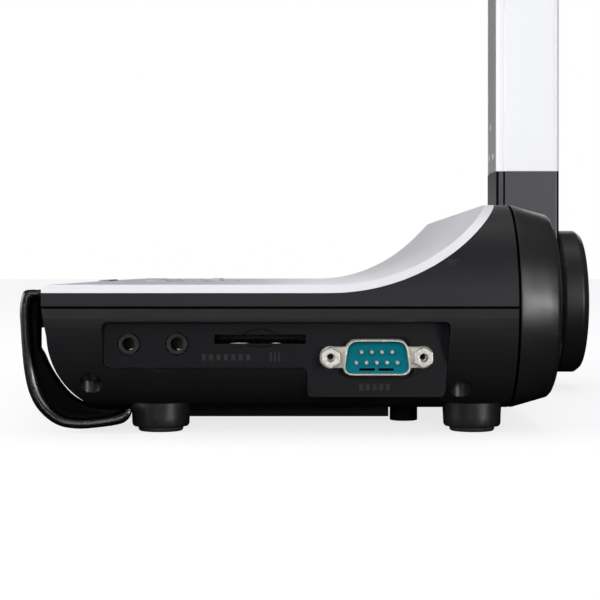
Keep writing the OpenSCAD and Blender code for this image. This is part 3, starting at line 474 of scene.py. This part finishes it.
def port_marks():
    """Rows of small raised bars where the port panel carries its moulded labels."""
    low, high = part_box("port_panel")
    middle = (low.x + high.x) / 2

    def row(x, z, pitch, count, length, height):
        """Bars side by side, in millimetres: x from the panel's middle, z above the table."""
        return [((middle + (x + i * pitch) * MM, low.y, z * MM), length * MM, height * MM)
                for i in range(count)]

    card_label = row(x=-19.6, z=21.4, pitch=2, count=7, length=1.1, height=1.7)
    card_sign = row(x=-1.5, z=21.6, pitch=1.1, count=3, length=0.5, height=2.4)
    serial_label = row(x=22.9, z=13.4, pitch=1.8, count=5, length=1.1, height=1.9)
    bars = card_label + card_sign + serial_label
    raised_bars("port_marks", bars, 0.12 * MM, 1, "case_black", "base")


def strip_marks():
    """Three small pale crosses printed low on the arm's front strip."""
    low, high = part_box("arm_strip")
    middle = (low.y + high.y) / 2
    marks = []
    for across, up, width in ((4, 99.6, 4.5), (9, 88, 3), (-3.5, 88, 5.5)):
        place = (low.x, middle + across * MM, up * MM)
        marks.append((place, width * MM, 0.8 * MM))
        marks.append((place, 1.6 * MM, 2.6 * MM))
    raised_bars("strip_marks", marks, 0.05 * MM, 0, "arm_white", "column")


def key_marks():
    """A plain sign printed on each key but the smallest: one to four short bars."""
    signs = {"key_ok": 1, "key_power": 2, "key_menu": 3, "key_source": 2, "key_freeze": 1, "key_light": 4}
    pitch = 0.9 * MM
    for key, count in signs.items():
        low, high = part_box(key)
        centre = (low + high) / 2
        start = centre.y - (count - 1) * pitch / 2
        bars = [((centre.x, start + i * pitch, high.z), 1.8 * MM, 0.35 * MM) for i in range(count)]
        raised_bars(key + "_mark", bars, 0.05 * MM, 2, "arm_white", body_of_node[key])


port_marks()
strip_marks()
key_marks()


# ---------------------------------------------------------------- studio
ROOM_LIGHT = 0.46
ROOM_REFLECTION = 0.1


def area_light(name, place, target, size, power):
    """A rectangular lamp that faces a target. size is its width and height in metres."""
    lamp = bpy.data.lights.new(name, "AREA")
    lamp.energy = power
    lamp.shape = "RECTANGLE"
    lamp.size, lamp.size_y = size
    obj = bpy.data.objects.new(name, lamp)
    obj.location = place
    obj.rotation_euler = (Vector(target) - Vector(place)).to_track_quat("-Z", "Y").to_euler()
    bpy.context.scene.collection.objects.link(obj)
    return obj


def accent_light(*light):
    """A lamp that shows only as a highlight on glossy surfaces."""
    obj = area_light(*light)
    obj.visible_diffuse = False


def lights():
    """Soft light from the front, the top and the left, and accents that draw the black parts' edges."""
    middle = (MID_X, 0, 0.05)
    soft = area_light("front_soft", (MID_X - 0.1, -2.2, 0.25), middle, (1.6, 0.9), 38)
    soft.visible_glossy = False
    area_light("top_soft", (MID_X + 0.1, 0.1, 1.3), middle, (0.9, 0.7), 2)
    area_light("left_soft", (MID_X - 1.2, -0.45, 0.3), middle, (0.7, 0.6), 8)
    accent_light("back_soft", (MID_X + 0.35, 1.4, 0.5), middle, (0.8, 0.3), 2)
    accent_light("right_soft", (MID_X + 0.68, -0.95, 0.27), middle, (0.3, 0.9), 5)
    accent_light("right_low", (MID_X + 0.95, -1.1, 0.12), (MID_X, -0.1, 0.01), (0.22, 0.22), 6)
    accent_light("front_strip", (MID_X - 0.33, -2.2, 0.4), middle, (0.09, 1.1), 3)
    accent_light("back_low", (MID_X, 2.0, 0.07), middle, (2.4, 0.14), 1.2)


def floor_paper(name):
    """Matt paper that glows a little, so that shadows on it stay faint."""
    tree, shader, coords = new_material(name)
    cloud = spread(tree, noise(tree, coords, 3, 3), 0.0, 1.0)
    paper = blend_colors(tree, cloud, (0.3, 0.3, 0.3), (0.32, 0.32, 0.32))
    tree.links.new(paper, shader.inputs["Base Color"])
    shader.inputs["Roughness"].default_value = 0.9
    shader.inputs["Specular IOR Level"].default_value = 0.0
    shader.inputs["Emission Color"].default_value = (1, 1, 1, 1)
    shader.inputs["Emission Strength"].default_value = 0.78


def pale_floor():
    """A wide floor of pale paper, which lights nothing else and shows in no reflection."""
    floor_paper("floor_paper")
    mesh = bpy.data.meshes.new("floor")
    half = 6.0
    corners = [(x * half, y * half, 0) for x, y in ((-1, -1), (1, -1), (1, 1), (-1, 1))]
    mesh.from_pydata(corners, [], [(0, 1, 2, 3)])
    floor = bpy.data.objects.new("floor", mesh)
    bpy.context.scene.collection.objects.link(floor)
    mesh.materials.append(LOOKS["floor_paper"])
    floor.visible_diffuse = False
    floor.visible_glossy = False


def background(tree, height, low, high):
    """White light from the room, from strength low below the horizon to high above it."""
    strength = spread(tree, height, low, high, from_low=-0.15, from_high=0.35)
    node = tree.nodes.new("ShaderNodeBackground")
    node.inputs["Color"].default_value = (1, 1, 1, 1)
    tree.links.new(strength, node.inputs["Strength"])
    return node.outputs["Background"]


def mix_shaders(tree, factor, first, second):
    """The first shader where the factor is 0, and the second where it is 1."""
    node = tree.nodes.new("ShaderNodeMixShader")
    tree.links.new(factor, node.inputs["Fac"])
    tree.links.new(first, node.inputs[1])
    tree.links.new(second, node.inputs[2])
    return node.outputs["Shader"]


def pale_room():
    """White behind the object, soft light on matt surfaces, and a dim room in the reflections."""
    world = bpy.data.worlds.new("studio")
    world.use_nodes = True
    tree = world.node_tree
    tree.nodes.remove(tree.nodes["Background"])
    path = tree.nodes.new("ShaderNodeLightPath")
    coords = tree.nodes.new("ShaderNodeTexCoord")
    direction = tree.nodes.new("ShaderNodeSeparateXYZ")
    tree.links.new(coords.outputs["Generated"], direction.inputs["Vector"])
    height = direction.outputs["Z"]
    soft_room = background(tree, height, 0.02, ROOM_LIGHT)
    mirrored_room = background(tree, height, 0.0, ROOM_REFLECTION)
    room = mix_shaders(tree, path.outputs["Is Glossy Ray"], soft_room, mirrored_room)
    seen = mix_shaders(tree, path.outputs["Is Camera Ray"], room, background(tree, height, 1, 1))
    tree.links.new(seen, tree.nodes["World Output"].inputs["Surface"])
    bpy.context.scene.world = world


def camera():
    """Level camera on the user's right, low over the table, with the base a little low in the view."""
    distance = 553 * MM  # from the middle of the base
    height = 45.5 * MM  # above the table
    data = bpy.data.cameras.new("camera")
    data.sensor_width = 36
    data.lens = 96
    data.shift_y = -0.0533
    data.clip_start = 0.01
    data.clip_end = 50
    obj = bpy.data.objects.new("camera", data)
    obj.location = (MID_X, -distance, height)
    obj.rotation_euler = (math.radians(90), 0, 0)
    bpy.context.scene.collection.objects.link(obj)
    bpy.context.scene.camera = obj


lights()
pale_floor()
pale_room()
camera()
bpy.context.scene.view_settings.view_transform = "Standard"
